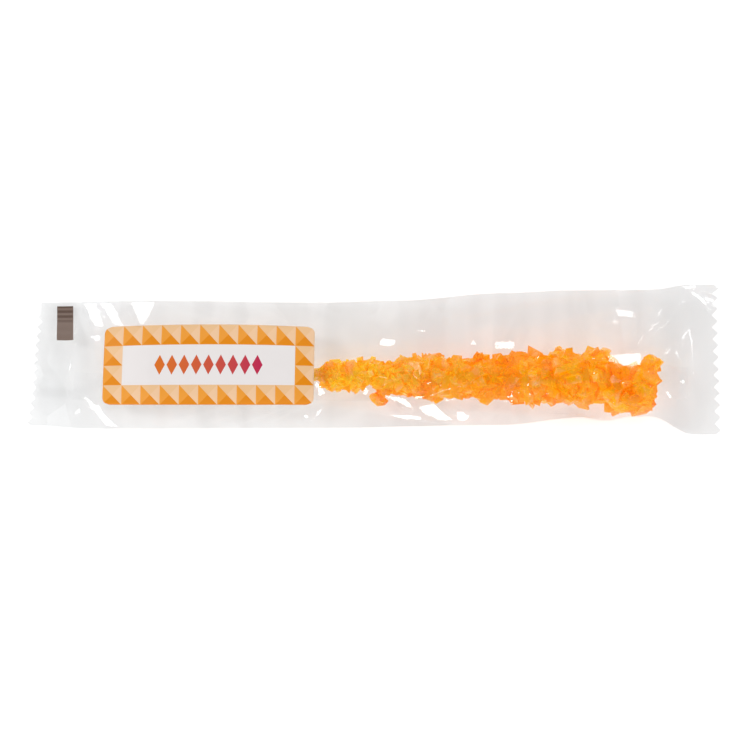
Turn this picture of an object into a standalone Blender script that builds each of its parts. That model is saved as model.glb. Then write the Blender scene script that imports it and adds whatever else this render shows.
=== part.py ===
"""A stick of orange rock candy sealed in a clear flow-wrap packet, lying flat with its label up.

The packet is one closed solid, because its contents can't be taken out: a tube of film with a fin
seal along its back, a zigzag crimped seal across each end, and the stick of candy swelling it from
inside. The label is a thin paper plate that follows the film. X runs along the packet, with the
thick end of the candy at +X, Y across it and Z up. The origin is under the middle of the packet.
"""

import math

import bmesh
import bpy

MM = 0.001

# The packet.
CUT_LEFT = -106.45 * MM  # middle of each zigzag cut, at the tips of its teeth
CUT_RIGHT = 107.45 * MM
CUT_SLANT_LEFT = 1.85 * MM  # how far a cut leans, from its middle to its far end
CUT_SLANT_RIGHT = -0.85 * MM
SEAL_LEFT = -94.2 * MM  # inner edge of each end seal
SEAL_RIGHT = 98.2 * MM
SEAL_THICKNESS = 0.6 * MM
TEETH = 13
TOOTH_DEPTH_LEFT = 1.3 * MM
TOOTH_DEPTH_RIGHT = 1.9 * MM
CRIMP_RELIEF = 0.12 * MM
CREASE_POINT = (99.0 * MM, 20.2 * MM)  # a place on the crease of the folded corner
CREASE_FACING = (0.53, 0.85)  # the way from the crease to the corner
CREASE_SLOPE = 0.85
CREASE_ROUNDING = 0.8 * MM
FIN_WIDTH = 11.0 * MM
FIN_OFFSET = -6.0 * MM  # from the middle of the packet, so that the fin lies under the candy
FIN_RELIEF = 0.45 * MM
ROWS = 76
COLUMNS = 2 * TEETH

# The candy under the film, and the wooden stick in it.
CANDY_START = -19.0 * MM
CANDY_END = 91.0 * MM
FILM_CLEARANCE = 0.5 * MM
CRYSTAL_RELIEF = 0.45 * MM

# The label: a rectangle with round corners, half of a millimetre off the film at most.
LABEL_LENGTH = 65.6 * MM
LABEL_WIDTH = 24.9 * MM
LABEL_CORNER = 2.2 * MM
LABEL_CENTRE = (-51.3 * MM, -1.45 * MM)
LABEL_LEAN = 0.02  # how far it leans along X for each step across
LABEL_BOW = 0.9 * MM  # how much lower its far edge is at the ends than in the middle
LABEL_THICKNESS = 0.3 * MM
LABEL_GAP = 0.35 * MM
LABEL_STRIPS = (16, 10)

# How the packet changes along its length: pairs of a place along X and a value there, in millimetres.
FAR_EDGE = ((-106, 18.0), (-73, 18.5), (-16, 17.9), (8, 18.5), (40, 20.8), (60, 21.6), (86, 21.8), (98, 23.3))
NEAR_EDGE = ((-106, -20.2), (-86, -21.5), (-20, -21.3), (40, -20.3), (65, -17.9), (87, -17.7), (98, -23.3))
CROWN_HEIGHT = ((-94, 9.0), (-82, 12.0), (-20, 12.6), (20, 13.0), (60, 16.4), (80, 17.6), (98, 17.6))
FOLD_HEIGHT = ((-94, 4.0), (-20, 4.8), (40, 7.5), (80, 9.2), (98, 9.2))
CROWN_SHAPE = ((-94, 2.6), (-20, 2.6), (10, 1.6), (98, 1.3))  # a power: 2 is an arch, 1 is a tent
AXIS_SIDE = ((-94, -2.5), (-19, -5.0), (52, -5.8), (72, -5.2), (78, -8.6), (91, -7.2))
AXIS_HEIGHT = ((-19, 5.4), (20, 7.4), (60, 9.2), (91, 9.6))
CANDY_RADIUS = (
    (-19, 3.0), (-14, 4.4), (-5, 5.2), (0, 4.8), (8, 6.1), (20, 6.7), (33, 7.3), (52, 8.1), (67, 8.9),
    (77, 8.0), (86, 8.8), (89, 7.0), (91, 3.5),
)


def eased(share):
    share = min(max(share, 0.0), 1.0)
    return share * share * (3 - 2 * share)


def along(x, stations):
    """The value at x, in metres, eased from station to station."""
    place = x / MM
    for (start, first), (end, last) in zip(stations, stations[1:]):
        if place <= end:
            return (first + (last - first) * eased((place - start) / (end - start))) * MM
    return stations[-1][1] * MM


def lumps(x, y):
    """An uneven swell between -1 and 1, as of film over crystals."""
    across = math.sin(y / (1.5 * MM) + 1.7 * math.sin(x / (4.1 * MM)))
    return across * math.sin(x / (1.3 * MM) + 1.1 * math.sin(y / (2.3 * MM)))


def buckles(x, across):
    """Short folds that run across the packet, deepest beside its edges."""
    beside_edge = eased((abs(across) - 0.45) / 0.35) * (1 - across**8)
    along_edge = math.sin(x / (1.15 * MM) + 2.4 * math.sin(x / (5.7 * MM)) + 1.9 * across)
    return 0.4 * MM * beside_edge * along_edge


def on_label(x, y):
    """1 under the label, fading to 0 around it."""
    beyond_end = abs(x - LABEL_CENTRE[0]) - LABEL_LENGTH / 2
    beyond_side = abs(y - LABEL_CENTRE[1]) - LABEL_WIDTH / 2
    return 1 - eased(max(beyond_end, beyond_side) / (4 * MM))


def candy_half_height(x, y):
    """Half the thickness of the candy at a place, or None beside it."""
    if not CANDY_START < x < CANDY_END:
        return None
    radius = along(x, CANDY_RADIUS) + FILM_CLEARANCE + CRYSTAL_RELIEF * lumps(x, y)
    off_axis = y - along(x, AXIS_SIDE)
    if abs(off_axis) >= radius:
        return None
    return math.sqrt(radius**2 - off_axis**2)


def edges_at(x):
    """Middle and half width of the packet at x."""
    far, near = along(x, FAR_EDGE), along(x, NEAR_EDGE)
    return (far + near) / 2, (far - near) / 2


def top_of_tube(x, across):
    """Height of the upper film, from -1 at the near fold to 1 at the far fold."""
    middle, half = edges_at(x)
    y = middle + half * across
    fold, crown = along(x, FOLD_HEIGHT), along(x, CROWN_HEIGHT)
    power = along(x, CROWN_SHAPE) / MM
    ridge = (along(x, AXIS_SIDE) - middle) / half
    from_ridge = abs(across - ridge * (1 - across**2))
    height = fold + (crown - fold) * (1 - from_ridge**power)
    height += buckles(x, across) * (1 - on_label(x, y))
    candy = candy_half_height(x, y)
    if candy is not None:
        height = max(height, along(x, AXIS_HEIGHT) + candy)
    return height


def underside_of_tube(x, across):
    """Height of the lower film. The fin seal is the flat strip that the packet rests on."""
    middle, half = edges_at(x)
    y = middle + half * across
    off_fin = abs(y - middle - FIN_OFFSET) - FIN_WIDTH / 2
    if off_fin <= 0:
        return 0.0
    rise = max(0.0, (abs(across) - 0.4) / 0.6) ** 1.7
    height = FIN_RELIEF + (along(x, FOLD_HEIGHT) - FIN_RELIEF) * rise
    candy = candy_half_height(x, y)
    if candy is not None:
        height = min(height, max(FIN_RELIEF, along(x, AXIS_HEIGHT) - candy))
    return height


def height_of_left_seal(x, across):
    """The left seal hangs in three shallow waves, which die out in the tube."""
    wave = math.sin(1.5 * math.pi * across + 0.4)
    return (3.6 + 2.4 * wave * (1 - eased((x - SEAL_LEFT) / (9 * MM)))) * MM


def height_of_right_seal(x, across):
    """The right seal is nearly flat, with its far corner folded up along a slanting crease."""
    middle, half = edges_at(x)
    from_crease = (x - CREASE_POINT[0]) * CREASE_FACING[0]
    from_crease += (middle + half * across - CREASE_POINT[1]) * CREASE_FACING[1]
    rounding = CREASE_ROUNDING * math.exp(-abs(from_crease) / CREASE_ROUNDING)
    fold = CREASE_SLOPE * (max(0.0, from_crease) + 0.5 * rounding)
    return (7.6 + 1.1 * math.sin(1.6 * across + 0.6)) * MM + fold


def film_height(x, across, above):
    """Height of the upper or the lower film anywhere, end seals included."""
    ply = SEAL_THICKNESS / 2 if above else -SEAL_THICKNESS / 2
    tube = top_of_tube if above else underside_of_tube
    from_left, from_right = (x - SEAL_LEFT) / (24 * MM), (SEAL_RIGHT - x) / (13 * MM)
    if from_left < 1:
        seal, share = height_of_left_seal(x, across), max(from_left, 0.0) ** 0.6
    elif from_right < 1:
        seal, share = height_of_right_seal(x, across), max(from_right, 0.0) ** 0.6
    else:
        return tube(x, across)
    if share == 0:
        return seal + ply
    return (seal + ply) + (tube(x, across) - seal - ply) * share


def crimp(column):
    """Ridges along the packet, one to each tooth."""
    return CRIMP_RELIEF if column % 2 else -CRIMP_RELIEF


def make_wrapper():
    """A slab of rows and columns, whose two faces are then laid where the upper and lower film lie."""
    mesh = bmesh.new()
    bmesh.ops.create_grid(mesh, x_segments=ROWS, y_segments=COLUMNS, size=1)
    bmesh.ops.reverse_faces(mesh, faces=mesh.faces)
    lifted = bmesh.ops.extrude_face_region(mesh, geom=mesh.faces[:])
    above = {v for v in lifted["geom"] if isinstance(v, bmesh.types.BMVert)}
    for vertex in mesh.verts:
        share, across = vertex.co.x, vertex.co.y
        column = round((across + 1) / 2 * COLUMNS)
        x = CUT_LEFT + (CUT_RIGHT - CUT_LEFT) * (share + 1) / 2
        if abs(share) > 1 - 0.5 / ROWS and column % 2 == 0:
            x += TOOTH_DEPTH_LEFT if share < 0 else -TOOTH_DEPTH_RIGHT
        height = film_height(x, across, vertex in above)
        if x < SEAL_LEFT or x > SEAL_RIGHT:
            height += crimp(column)
        middle, half = edges_at(x)
        x += across * CUT_SLANT_LEFT * eased((SEAL_LEFT + 20 * MM - x) / (30 * MM))
        x += across * CUT_SLANT_RIGHT * eased((x - SEAL_RIGHT + 10 * MM) / (18 * MM))
        vertex.co = (x, middle + half * across, height)
    return finished(mesh, "wrapper")


def make_label():
    """A rounded rectangle cut into strips, so that it can bend, and laid on the film."""
    mesh = bmesh.new()
    outline = []
    for corner in range(4):
        towards_x = 1 if corner in (0, 3) else -1
        towards_y = 1 if corner in (0, 1) else -1
        middle_x = towards_x * (LABEL_LENGTH / 2 - LABEL_CORNER)
        middle_y = towards_y * (LABEL_WIDTH / 2 - LABEL_CORNER)
        for step in range(5):
            turn = (corner + step / 4) * math.pi / 2
            x = middle_x + LABEL_CORNER * math.cos(turn)
            outline.append(mesh.verts.new((x, middle_y + LABEL_CORNER * math.sin(turn), 0)))
    mesh.faces.new(outline)
    for axis, size, strips in ((0, LABEL_LENGTH, LABEL_STRIPS[0]), (1, LABEL_WIDTH, LABEL_STRIPS[1])):
        for strip in range(1, strips):
            place, normal = [0, 0, 0], [0, 0, 0]
            place[axis], normal[axis] = size * (strip / strips - 0.5), 1
            everything = mesh.verts[:] + mesh.edges[:] + mesh.faces[:]
            bmesh.ops.bisect_plane(mesh, geom=everything, plane_co=place, plane_no=normal)
    bmesh.ops.reverse_faces(mesh, faces=mesh.faces)
    lifted = bmesh.ops.extrude_face_region(mesh, geom=mesh.faces[:])
    above = {v for v in lifted["geom"] if isinstance(v, bmesh.types.BMVert)}
    for vertex in mesh.verts:
        to_end = vertex.co.x / (LABEL_LENGTH / 2)
        to_far_edge = vertex.co.y / LABEL_WIDTH + 0.5
        x = vertex.co.x + LABEL_CENTRE[0] + LABEL_LEAN * vertex.co.y
        y = vertex.co.y + LABEL_CENTRE[1] - LABEL_BOW * to_end**2 * to_far_edge
        middle, half = edges_at(x)
        height = film_height(x, (y - middle) / half, True) + LABEL_GAP
        vertex.co = (x, y, height + (LABEL_THICKNESS if vertex in above else 0))
    return finished(mesh, "label")


def finished(mesh, name):
    """The mesh as a named object in the scene, with its faces turned outwards."""
    bmesh.ops.recalc_face_normals(mesh, faces=mesh.faces[:])
    data = bpy.data.meshes.new(name)
    mesh.to_mesh(data)
    mesh.free()
    data.shade_smooth()
    data.set_sharp_from_angle(angle=math.radians(35))
    piece = bpy.data.objects.new(name, data)
    bpy.context.scene.collection.objects.link(piece)
    return piece


def give_material(piece, name, colour, roughness, alpha=1.0):
    material = bpy.data.materials.new(name)
    material.use_nodes = True
    shader = material.node_tree.nodes["Principled BSDF"]
    shader.inputs["Base Color"].default_value = (*colour, 1.0)
    shader.inputs["Roughness"].default_value = roughness
    shader.inputs["Metallic"].default_value = 0.0
    shader.inputs["Alpha"].default_value = alpha
    piece.data.materials.append(material)


def main():
    for old in list(bpy.data.objects):
        bpy.data.objects.remove(old)
    give_material(make_wrapper(), "clear_film", (0.86, 0.85, 0.84), 0.08, alpha=0.35)
    give_material(make_label(), "label_paper", (0.84, 0.55, 0.28), 0.45)


main()
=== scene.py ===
# %% [markdown]
# # Rock candy in a clear packet
#
# Sugar crystals have grown on a wooden stick, and a machine has sealed the stick in a tube of clear
# film. It pressed a zigzag seal across each end and a flat fin seal along the back, and a paper label
# went on top of the film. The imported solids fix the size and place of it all. This script gives them
# their looks: real crystals, a crumpled film around them, and a printed label.
#
# Lengths are in metres. X runs along the packet and Z is up.

# %% Load the frame
import math
import random
from collections import namedtuple
from contextlib import contextmanager
from functools import partialmethod

import bmesh
import bpy
import numpy as np
from mathutils import Euler, Matrix, Vector, noise
from mathutils.bvhtree import BVHTree


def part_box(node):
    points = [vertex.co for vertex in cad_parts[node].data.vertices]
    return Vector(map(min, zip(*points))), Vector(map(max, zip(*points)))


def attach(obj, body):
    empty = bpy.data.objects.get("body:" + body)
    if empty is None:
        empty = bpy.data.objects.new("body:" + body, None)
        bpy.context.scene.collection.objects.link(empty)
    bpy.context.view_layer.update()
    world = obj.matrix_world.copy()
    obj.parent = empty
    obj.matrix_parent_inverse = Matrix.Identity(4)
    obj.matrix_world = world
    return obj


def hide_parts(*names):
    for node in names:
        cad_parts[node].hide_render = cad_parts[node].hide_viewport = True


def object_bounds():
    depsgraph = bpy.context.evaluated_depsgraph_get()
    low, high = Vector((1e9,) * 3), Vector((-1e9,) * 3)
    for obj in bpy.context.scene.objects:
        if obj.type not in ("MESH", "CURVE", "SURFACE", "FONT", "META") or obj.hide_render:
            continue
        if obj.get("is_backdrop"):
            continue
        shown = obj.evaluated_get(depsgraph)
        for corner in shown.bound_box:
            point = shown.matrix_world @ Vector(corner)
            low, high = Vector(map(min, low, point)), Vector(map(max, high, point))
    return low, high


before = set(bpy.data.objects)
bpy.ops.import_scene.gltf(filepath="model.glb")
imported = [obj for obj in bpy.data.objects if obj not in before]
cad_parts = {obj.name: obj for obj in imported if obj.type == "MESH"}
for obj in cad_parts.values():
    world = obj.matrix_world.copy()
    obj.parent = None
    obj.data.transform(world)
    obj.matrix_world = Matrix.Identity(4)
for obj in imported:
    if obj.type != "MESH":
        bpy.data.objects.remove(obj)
cad_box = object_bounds()
MM = 0.001
scene = bpy.context.scene
pack_low, pack_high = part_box("wrapper")
label_low, label_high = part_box("label")
print("packet", [round(side / MM, 1) for side in pack_high - pack_low], "mm")

# %% [markdown]
# ## Small helpers
#
# Many sizes here change along the packet. Each is written as a few stations, pairs of a place along X
# and a value there, and a smooth step carries it from one station to the next. A piece is a mesh made
# with bmesh operators, which then becomes an object with its place in its mesh.

# %% Helpers for stations and pieces
def eased(share):
    share = min(max(share, 0.0), 1.0)
    return share * share * (3 - 2 * share)


def along(x, stations):
    """The value at x, where the stations are in millimetres and the answer is in metres."""
    place = x / MM
    for (start, first), (end, last) in zip(stations, stations[1:]):
        if place <= end:
            return (first + (last - first) * eased((place - start) / (end - start))) * MM
    return stations[-1][1] * MM


def make_piece(mesh, name, smooth=True):
    """Turns a bmesh into an object in the scene."""
    data = bpy.data.meshes.new(name)
    mesh.to_mesh(data)
    mesh.free()
    if smooth:
        data.shade_smooth()
    piece = bpy.data.objects.new(name, data)
    scene.collection.objects.link(piece)
    return piece


def applied(piece):
    """Puts what a piece's modifiers make into its mesh, and takes the modifiers off."""
    graph = bpy.context.evaluated_depsgraph_get()
    final = bpy.data.meshes.new_from_object(piece.evaluated_get(graph))
    piece.modifiers.clear()
    piece.data = final
    return piece


def copied_mesh(piece):
    mesh = bmesh.new()
    mesh.from_mesh(piece.data)
    return mesh


@contextmanager
def edited(piece):
    """Lends out a piece's mesh, and puts it back when the lines under with are done."""
    mesh = copied_mesh(piece)
    yield mesh
    mesh.to_mesh(piece.data)
    mesh.free()


def notes(mesh, *names):
    """The numbers that each point of a mesh keeps under these names."""
    return [mesh.verts.layers.float[name] for name in names]


def tree_of(piece):
    """What rays are cast at, to find a piece's surface."""
    mesh = copied_mesh(piece)
    tree = BVHTree.FromBMesh(mesh)
    mesh.free()
    return tree


wrapper_solid = tree_of(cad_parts["wrapper"])
print("solid ready to be measured")

# %% [markdown]
# ## The line of the stick
#
# Everything inside the packet follows one line. The stick lies on the back of the packet at its bare
# end, and the thick end of the candy lifts it by its own radius at the other. Crystals grow thicker
# towards the end that hung lowest in the syrup, so the radius has stations too, and it wanders as the
# real one does.

# %% The candy's line and radius
# A place along X, then how far across the line is and the radius there, in millimetres.
CANDY_LINE = (
    (-19.4, -5.0, 1.0), (-16.8, -4.4, 1.9), (-14, -5.0, 4.3), (-11.2, -5.2, 4.2), (-8.4, -5.1, 4.2),
    (-5.6, -5.1, 4.8), (-2.8, -4.0, 3.7), (0, -4.1, 4.1), (2.8, -6.0, 5.3), (5.6, -5.7, 4.8),
    (8.4, -5.4, 5.7), (11.2, -5.2, 5.9), (14, -5.2, 6.2), (16.8, -5.6, 6.0), (19.6, -5.1, 6.4),
    (22.4, -5.6, 5.6), (25.2, -4.8, 5.8), (28, -5.4, 5.7), (30.8, -5.5, 6.1), (33.6, -5.7, 7.1),
    (36.3, -5.7, 6.6), (39.1, -5.4, 6.2), (41.9, -5.4, 6.8), (44.7, -5.2, 7.0), (47.5, -6.0, 6.9),
    (50.3, -6.1, 7.4), (53.1, -6.0, 7.3), (55.9, -6.1, 7.5), (58.7, -5.3, 7.9), (61.5, -5.8, 7.9),
    (64.3, -6.1, 7.9), (67.1, -5.8, 8.3), (69.9, -4.9, 7.6), (72.7, -6.8, 7.2), (75.5, -9.5, 7.0),
    (78.3, -9.1, 7.2), (81.1, -9.5, 6.5), (83.9, -8.2, 7.6), (86.7, -7.1, 7.3),
)
AXIS_SIDE = [(x, side) for x, side, _ in CANDY_LINE] + [(91, -6.0)]
AXIS_HEIGHT = ((-74, 2.6), (-19, 5.4), (20, 7.4), (60, 9.4), (80, 9.8), (91, 9.8))
CANDY_RADIUS = [(x, radius) for x, _, radius in CANDY_LINE] + [(89, 5.5), (91, 3.0)]
CANDY_START, CANDY_END = -19.4 * MM, 89.0 * MM
STICK_START, STICK_END = -74.0 * MM, 84.0 * MM
STICK_RADIUS = 1.7 * MM


def axis_at(x):
    return Vector((x, along(x, AXIS_SIDE), along(x, AXIS_HEIGHT)))


def candy_radius(x):
    return along(x, CANDY_RADIUS)


def round_bar(mesh, start, end, radius_at, segments, cuts):
    """A round bar along the line, with its radius set ring by ring."""
    bmesh.ops.create_cone(mesh, cap_ends=True, segments=segments, radius1=1, radius2=1, depth=1)
    lengthwise = [e for e in mesh.edges if abs(e.verts[0].co.z - e.verts[1].co.z) > 0.5]
    bmesh.ops.subdivide_edges(mesh, edges=lengthwise, cuts=cuts)
    for vertex in mesh.verts:
        x = start + (vertex.co.z + 0.5) * (end - start)
        outwards = Vector((0, vertex.co.x, vertex.co.y))
        vertex.co = axis_at(x) + outwards * radius_at(x)


# %% [markdown]
# ## Crystals
#
# Sugar grows as leaning blocks with sharp, flat faces. A few moulds are cut first, each a cube that is
# stretched, leant over and sliced by planes, and every crystal is a turned copy of one. They could be
# scattered with Geometry Nodes, but a loop lets each one be placed by the candy's radius.

# %% Cut the moulds
rng = random.Random(149)
MOULDS = 24


def cut_mould():
    """One lopsided crystal, about 1 across and thin along Z."""
    mesh = bmesh.new()
    bmesh.ops.create_cube(mesh, size=1)
    lean = rng.uniform(-0.6, 0.6)
    long, wide, thick = rng.uniform(1.0, 1.7), rng.uniform(0.7, 1.0), rng.uniform(0.45, 0.8)
    for vertex in mesh.verts:
        vertex.co = (vertex.co.x * long + vertex.co.y * lean, vertex.co.y * wide, vertex.co.z * thick)
    for _ in range(rng.choice((5, 6, 7, 8))):
        facing = Vector([rng.uniform(-1, 1) for _ in range(3)]).normalized()
        reach = max(vertex.co.dot(facing) for vertex in mesh.verts)
        place = facing * reach * rng.uniform(0.5, 0.8)
        bmesh.ops.bisect_plane(
            mesh, geom=everything(mesh), plane_co=place, plane_no=facing, clear_outer=True
        )
        rim = [edge for edge in mesh.edges if edge.is_boundary]
        bmesh.ops.contextual_create(mesh, geom=rim)
    bmesh.ops.remove_doubles(mesh, verts=mesh.verts[:], dist=0.02)
    bmesh.ops.recalc_face_normals(mesh, faces=mesh.faces[:])
    return mesh


def everything(mesh):
    return mesh.verts[:] + mesh.edges[:] + mesh.faces[:]


def closed(mesh):
    return all(len(edge.link_faces) == 2 for edge in mesh.edges)


moulds = []
while len(moulds) < MOULDS:
    mould = cut_mould()
    if closed(mould) and 0.12 < mould.calc_volume() < 0.6:
        data = bpy.data.meshes.new("mould")
        mould.to_mesh(data)
        moulds.append(data)
    mould.free()
print(len(moulds), "moulds with", min(len(m.polygons) for m in moulds), "faces or more")

# %% [markdown]
# Crystals stand around the stick in rings that turn a little from one to the next. Small ones fill the
# thin end and bigger ones the thick end. A few are placed one by one where the real candy has a crystal
# that sticks out: a stray one that hangs below the thin end, peaks on the far side, and the tip.

# %% Place the crystals
Crystal = namedtuple("Crystal", "place size turn tone")


def facing_out(angle):
    """A turn that lays a crystal's thin side towards the outside of the candy, then tips it."""
    tip_over = rng.choice((0.35, 0.8, 1.5))
    tipped = Euler([rng.uniform(-tip_over, tip_over) for _ in range(2)] + [rng.uniform(0, 6.3)])
    return Matrix.Rotation(angle - math.pi / 2, 3, "X") @ tipped.to_matrix()


FILM_ROOM = 0.7 * MM
LOWEST, HIGHEST = FILM_ROOM, pack_high.z - FILM_ROOM


def ring_of_crystals(x, usual):
    """Crystals side by side around the candy at x."""
    radius = candy_radius(x)
    count = max(5, round(2 * math.pi * radius / (usual * 0.8)))
    for step in range(count):
        angle = 2 * math.pi * (step + rng.uniform(-0.4, 0.4)) / count + x / MM
        size = min(usual * rng.uniform(0.7, 1.6), x - CANDY_START)
        out = max(radius - size * rng.uniform(0.3, 0.58), 1.2 * MM)
        middle = axis_at(x + rng.uniform(-0.9, 0.9) * MM)
        place = middle + out * Vector((0, math.cos(angle), math.sin(angle)))
        place.z = min(max(place.z, LOWEST + size * 0.6), HIGHEST - size * 0.6)
        yield Crystal(place, size, facing_out(angle), rng.random())


crystals = []
x = CANDY_START + 2.0 * MM
while x < CANDY_END - 1.5 * MM:
    usual_size = (2.5 + 2.0 * eased((x - CANDY_START) / (CANDY_END - CANDY_START))) * MM
    crystals += ring_of_crystals(x, usual_size)
    x += usual_size * 0.55

TIP, TIP_SLANT = 89.84 * MM, 0.24  # the candy's end on the middle line, and how it moves on across

# Along X, across the axis, above the axis, then the size, all in millimetres.
OUTSTANDING = (
    (1.4, -7.2, -1.5, 4.0), (2.2, -5.6, -1.0, 3.2), (-4.4, 5.0, 0.6, 2.6), (9.5, 5.4, 0.4, 3.0),
    (33.0, 7.0, 0.6, 3.2), (45.8, 7.0, 0.5, 3.2), (57.5, 7.6, 0.2, 3.6), (67.6, 7.4, 0.8, 3.6),
    (70.6, 7.2, 0.4, 3.6), (86.0, 7.0, 0.5, 4.6), (88.4, 4.6, 0.8, 4.4), (84.5, -5.6, 1.5, 6.0),
    (79.0, -5.2, 1.0, 5.6), (85.6, -3.0, -1.0, 6.0), (24.0, -5.8, 0.4, 3.0), (58.5, -7.0, 0.2, 3.6),
)
for along_x, across, above, size in OUTSTANDING:
    place = axis_at(along_x * MM) + Vector((0, across, above)) * MM
    crystals.append(Crystal(place, size * MM, facing_out(math.atan2(above, across)), rng.random()))
for crystal in crystals:
    crystal.place.x = min(crystal.place.x, TIP + crystal.place.y * TIP_SLANT - crystal.size * 0.5)
print(len(crystals), "crystals")

# %% [markdown]
# The crystals have grown into each other. A pile of overlapping shells would let light scatter inside
# each one alone, so they are joined into one closed body. One Boolean for each crystal would be slow.
# Instead they are dealt into batches in which none touches another, and one union adds each batch to a
# core around the stick.

# %% Grow the crystals into one body
CORE_SHARE, STICK_COAT = 0.72, 0.15 * MM
APART = 0.95


def deal_into_batches():
    batches = []
    for crystal in crystals:
        for batch in batches:
            if all((crystal.place - c.place).length > (crystal.size + c.size) * APART for c in batch):
                batch.append(crystal)
                break
        else:
            batches.append([crystal])
    return batches


def batch_piece(batch, number):
    mesh = bmesh.new()
    tone = mesh.faces.layers.float.new("tone")
    for crystal in batch:
        verts_before, faces_before = len(mesh.verts), len(mesh.faces)
        mesh.from_mesh(rng.choice(moulds))
        mesh.verts.ensure_lookup_table()
        mesh.faces.ensure_lookup_table()
        turned = Matrix.Translation(crystal.place) @ crystal.turn.to_4x4() @ Matrix.Scale(crystal.size, 4)
        bmesh.ops.transform(mesh, matrix=turned, verts=mesh.verts[verts_before:])
        for face in mesh.faces[faces_before:]:
            face[tone] = crystal.tone
    return make_piece(mesh, f"batch_{number}", smooth=False)


def core_radius(x):
    return max(candy_radius(x) * CORE_SHARE, STICK_RADIUS + STICK_COAT)


def grow_candy():
    core = bmesh.new()
    round_bar(core, CANDY_START, CANDY_END - 1.5 * MM, core_radius, 16, 50)
    tone = core.faces.layers.float.new("tone")
    for face in core.faces:
        face[tone] = 0.5
    candy = make_piece(core, "candy", smooth=False)
    batches = [batch_piece(batch, number) for number, batch in enumerate(deal_into_batches())]
    for batch in batches:
        union = candy.modifiers.new("Union", "BOOLEAN")
        union.operation = "UNION"
        union.solver = "MANIFOLD"
        union.object = batch
    applied(candy)
    for batch in batches:
        bpy.data.objects.remove(batch)
    return candy


def note_reach(candy):
    """Notes how far out each point stands for the candy's radius, and keeps all of it in the film."""
    with edited(candy) as mesh:
        reach = mesh.verts.layers.float.new("reach")
        for vertex in mesh.verts:
            vertex.co.z = min(max(vertex.co.z, LOWEST), HIGHEST)
            x = min(vertex.co.x, CANDY_END - 4 * MM)
            vertex[reach] = (vertex.co - axis_at(x)).length / candy_radius(x)


candy = grow_candy()
note_reach(candy)
print("candy has", len(candy.data.polygons), "faces")

# %% [markdown]
# ## The stick
#
# A plain birch dowel with softened ends. It runs inside the candy nearly to the tip, and its bare end
# lies under the label, where it shows from the back.

# %% Turn the stick
stick_mesh = bmesh.new()
round_bar(stick_mesh, STICK_START, STICK_END, lambda x: STICK_RADIUS, 32, 40)
end_rims = [edge for edge in stick_mesh.edges if any(len(f.verts) > 4 for f in edge.link_faces)]
bmesh.ops.bevel(
    stick_mesh, geom=end_rims, offset=0.4 * MM, segments=3, profile=0.5, affect="EDGES", material=-1
)
stick = make_piece(stick_mesh, "stick")
stick.data.set_sharp_from_angle(angle=math.radians(40))
print("stick is", round((STICK_END - STICK_START) / MM), "mm long")

# %% [markdown]
# ## The film, pressed flat
#
# The film starts as what it is on the roll: a flat tube. One grid is its upper side and a flipped copy
# its lower side, and they are welded along their rims. Each point remembers where it is on the tube:
# its share of the length, its place across from -1 to 1, and its side, which is 1 above and -1 below.

# %% Make the flat tube
COLUMNS, ROWS = 52, 176
FLAT_WIDTH = 46.5 * MM


def flat_tube():
    mesh = bmesh.new()
    share = mesh.verts.layers.float.new("share")
    across = mesh.verts.layers.float.new("across")
    side = mesh.verts.layers.float.new("side")
    unwrapped = mesh.loops.layers.uv.new("film")
    bmesh.ops.create_grid(mesh, x_segments=ROWS, y_segments=COLUMNS, size=1)
    for vertex in mesh.verts:
        vertex[share], vertex[across] = (vertex.co.x + 1) / 2, vertex.co.y
        on_rim = max(abs(vertex.co.x), abs(vertex.co.y)) > 0.999
        vertex[side] = 0 if on_rim else 1
    for face in mesh.faces:
        for corner in face.loops:
            corner[unwrapped].uv = (corner.vert[share], (corner.vert[across] + 1) / 4 + 0.5)
    copied = bmesh.ops.duplicate(mesh, geom=everything(mesh))
    lower = [item for item in copied["geom"] if isinstance(item, bmesh.types.BMFace)]
    bmesh.ops.reverse_faces(mesh, faces=lower)
    for face in lower:
        for corner in face.loops:
            corner[unwrapped].uv.y -= 0.5
    for vertex in {corner.vert for face in lower for corner in face.loops}:
        vertex[side] = -vertex[side]
        vertex.co.z = -abs(vertex[side])
    bmesh.ops.remove_doubles(mesh, verts=mesh.verts[:], dist=1e-4)
    return mesh


tube = flat_tube()
print("flat tube has", len(tube.faces), "faces, closed:", closed(tube))

# %% [markdown]
# ## The film, around the candy
#
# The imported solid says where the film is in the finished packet. A section across the solid is read
# with rays from above and below, and the film's columns are spread along it at even distances, because
# film hardly stretches. The seals are one thickness, so both sides of the film go to the middle there.

# %% Read a section of the solid
SEAL_LEFT, SEAL_RIGHT = pack_low.x + 14.0 * MM, pack_high.x - 10.0 * MM
CUT_SLANT_LEFT, CUT_SLANT_RIGHT = 1.85 * MM, -0.85 * MM
CUT_LEFT, CUT_RIGHT = pack_low.x + 1.85 * MM, pack_high.x - 0.85 * MM
PLY, LIFT = 0.06 * MM, 0.35 * MM
SAMPLES, HALVINGS = 90, 22
RAY_HEIGHT, BESIDE_PACKET = 0.1, 0.03


def height_on(tree, x, y, above):
    """Where a ray from above or below meets the surface, or None beside it."""
    way = -1 if above else 1
    hit = tree.ray_cast(Vector((x, y, -way * RAY_HEIGHT)), Vector((0, 0, way)))[0]
    return None if hit is None else hit.z


def fold_at(x, towards):
    """Where the packet ends at x, towards +1 or -1 across, by halving the gap."""
    inside, outside = 0.0, towards * BESIDE_PACKET
    for _ in range(HALVINGS):
        middle = (inside + outside) / 2
        if height_on(wrapper_solid, x, middle, True) is None:
            outside = middle
        else:
            inside = middle
    return inside


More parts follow.
